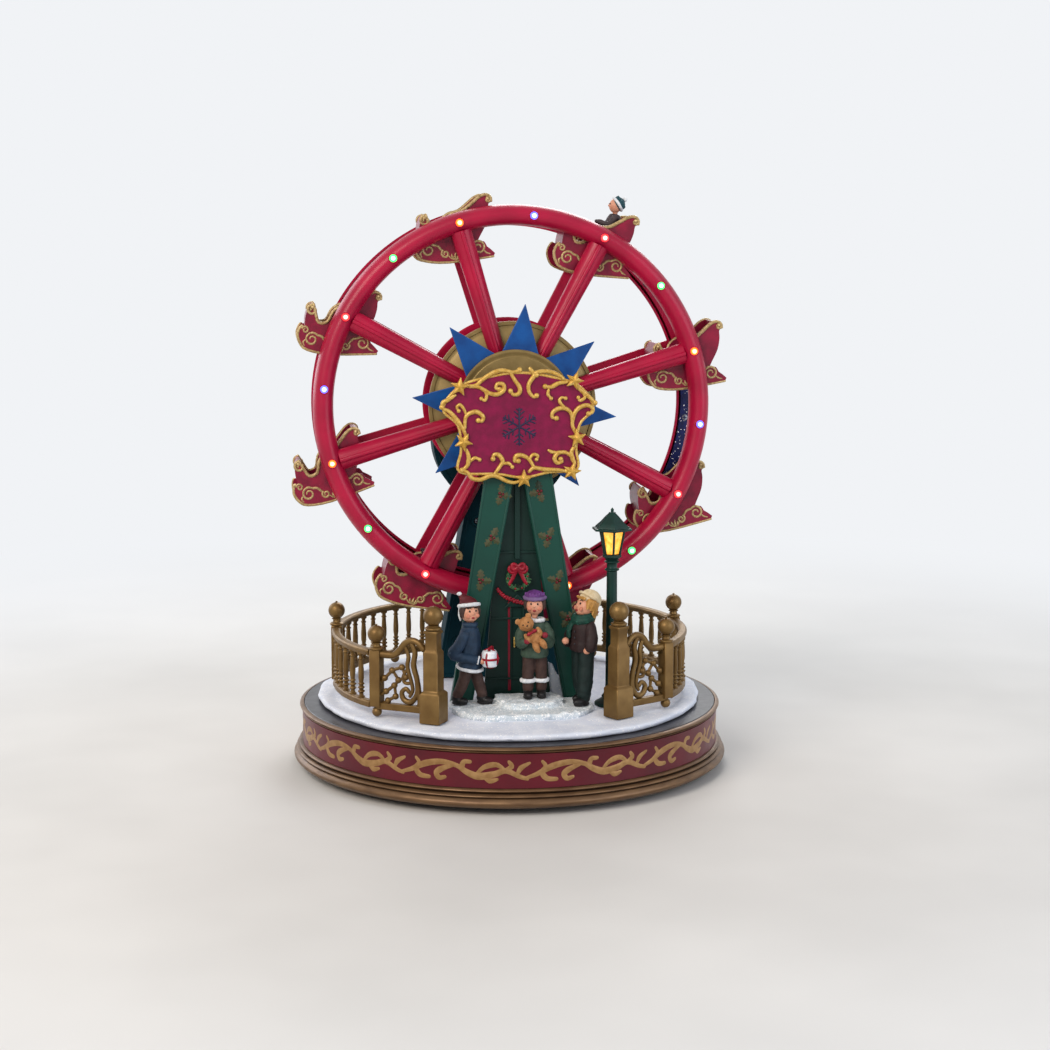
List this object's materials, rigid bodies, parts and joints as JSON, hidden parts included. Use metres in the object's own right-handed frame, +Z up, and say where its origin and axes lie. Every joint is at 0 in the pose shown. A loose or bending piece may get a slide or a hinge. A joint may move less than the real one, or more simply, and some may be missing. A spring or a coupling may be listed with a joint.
{
  "type": "led ferris wheel decoration",
  "caption": "Lit table decoration: a ferris wheel with hanging sleigh gondolas turns between two towers on a round, fenced, snowy base with figures, a lamp and a sign.",
  "frame": {"origin": "on the table, under the middle of the round base", "axes": "+Z up, the front with the sign and the steps faces -Y, +X to the right seen from the front; the wheel turns about Y"},
  "size_m": [0.24, 0.24, 0.3123],
  "materials": {
    "bronze": "aged bronze paint, satin",
    "maroon": "deep maroon paint with painted gold vine scrolls",
    "slate": "dark slate paint",
    "black": "plain black moulding",
    "rubber_black": "matt rubber",
    "cell": "metal sleeve",
    "board": "coated circuit board",
    "snow": "white paint with glitter",
    "lamp_green": "dark green paint",
    "lamp_amber": "lit amber panes",
    "figure_navy": "hand painted: navy jacket, dark red hat, brown trousers",
    "figure_green": "hand painted: grey green coat, purple hat, brown trousers",
    "figure_brown": "hand painted: maroon brown coat, green scarf, cream hat",
    "rider_paint": "hand painted rider in a coat and a hat",
    "tower_green": "dark teal green paint",
    "wreath": "green wreath with a red bow, painted",
    "crimson": "crimson metallic lacquer",
    "gold": "pale gold paint with glitter",
    "star_blue": "blue glitter lacquer",
    "led_blue": "dark blue board with clear light domes",
    "steel": "plain bright steel",
    "ivory": "unpainted ivory moulding"
  },
  "bodies": {
    "base": {"base_foot_ring": "bronze", "base_band": "maroon", "base_rim": "bronze", "deck_plate": "slate", "bottom_cover": "black", "battery_1": "cell", "battery_2": "cell", "battery_3": "cell", "foot_1": "rubber_black", "foot_2": "rubber_black", "foot_3": "rubber_black", "foot_4": "rubber_black", "speaker": "black", "control_board": "board", "power_socket": "black", "snow_ground": "snow", "snow_steps": "snow", "gate_post_left": "bronze", "gate_post_right": "bronze", "gate_panel_left": "bronze", "gate_panel_right": "bronze", "balustrade": "bronze", "lamp_post": "lamp_green", "lamp_glass": "lamp_amber", "boy_with_present": "figure_navy", "child_with_teddy": "figure_green", "child_with_scarf": "figure_brown", "front_tower": "tower_green", "booth_panel": "tower_green", "door_wreath": "wreath", "sign_plaque": "crimson", "sign_frame": "gold", "rear_tower_shell": "tower_green", "rear_tower_cover": "tower_green", "gear_motor": "steel", "brush_block": "ivory"},
    "wheel": {"wheel_axle": "steel", "front_rim": "crimson", "rear_rim": "crimson", "front_led_ring": "led_blue", "rear_wiring_ring": "led_blue", "front_hub_disc": "gold", "rear_hub_disc": "crimson", "hub_star": "star_blue", "hub_cap": "gold", "drive_gear": "ivory", "slip_ring": "steel"},
    "gondola_body_1": {"gondola_1": "crimson", "rider_1": "rider_paint"},
    "gondola_body_2": {"gondola_2": "crimson"},
    "gondola_body_3": {"gondola_3": "crimson"},
    "gondola_body_4": {"gondola_4": "crimson"},
    "gondola_body_5": {"gondola_5": "crimson", "rider_5": "rider_paint"},
    "gondola_body_6": {"gondola_6": "crimson"},
    "gondola_body_7": {"gondola_7": "crimson"},
    "gondola_body_8": {"gondola_8": "crimson"},
    "pinion": {"motor_pinion": "ivory"},
    "switch": {"power_switch": "black"},
    "door": {"battery_door": "black"}
  },
  "joints": [
    {"name": "wheel_spin", "type": "hinge", "parent": "base", "child": "wheel", "pos_m": [0, 0, 0.19865], "axis": [0, 1, 0], "continuous": true},
    {"name": "gondola_1_hang", "type": "hinge", "parent": "wheel", "child": "gondola_body_1", "pos_m": [0.04851, 0, 0.28837], "axis": [0, 1, 0], "continuous": true},
    {"name": "gondola_2_hang", "type": "hinge", "parent": "wheel", "child": "gondola_body_2", "pos_m": [0.09775, 0, 0.22779], "axis": [0, 1, 0], "continuous": true},
    {"name": "gondola_3_hang", "type": "hinge", "parent": "wheel", "child": "gondola_body_3", "pos_m": [0.08972, 0, 0.15014], "axis": [0, 1, 0], "continuous": true},
    {"name": "gondola_4_hang", "type": "hinge", "parent": "wheel", "child": "gondola_body_4", "pos_m": [0.02914, 0, 0.1009], "axis": [0, 1, 0], "continuous": true},
    {"name": "gondola_5_hang", "type": "hinge", "parent": "wheel", "child": "gondola_body_5", "pos_m": [-0.04851, 0, 0.10893], "axis": [0, 1, 0], "continuous": true},
    {"name": "gondola_6_hang", "type": "hinge", "parent": "wheel", "child": "gondola_body_6", "pos_m": [-0.09775, 0, 0.16951], "axis": [0, 1, 0], "continuous": true},
    {"name": "gondola_7_hang", "type": "hinge", "parent": "wheel", "child": "gondola_body_7", "pos_m": [-0.08972, 0, 0.24716], "axis": [0, 1, 0], "continuous": true},
    {"name": "gondola_8_hang", "type": "hinge", "parent": "wheel", "child": "gondola_body_8", "pos_m": [-0.02914, 0, 0.2964], "axis": [0, 1, 0], "continuous": true},
    {"name": "pinion_spin", "type": "hinge", "parent": "base", "child": "pinion", "pos_m": [0, 0, 0.16985], "axis": [0, 1, 0], "continuous": true},
    {"name": "switch_slide", "type": "slide", "parent": "base", "child": "switch", "axis": [0.9903, 0.1392, 0], "range_m": [-0.003, 0.003]},
    {"name": "battery_door_slide", "type": "slide", "parent": "base", "child": "door", "axis": [1, 0, 0], "range_m": [0, 0.05]}
  ],
  "couplings": [
    {"joint": "gondola_1_hang", "follows": "wheel_spin", "ratio": -1},
    {"joint": "gondola_2_hang", "follows": "wheel_spin", "ratio": -1},
    {"joint": "gondola_3_hang", "follows": "wheel_spin", "ratio": -1},
    {"joint": "gondola_4_hang", "follows": "wheel_spin", "ratio": -1},
    {"joint": "gondola_5_hang", "follows": "wheel_spin", "ratio": -1},
    {"joint": "gondola_6_hang", "follows": "wheel_spin", "ratio": -1},
    {"joint": "gondola_7_hang", "follows": "wheel_spin", "ratio": -1},
    {"joint": "gondola_8_hang", "follows": "wheel_spin", "ratio": -1},
    {"joint": "pinion_spin", "follows": "wheel_spin", "ratio": -3}
  ]
}
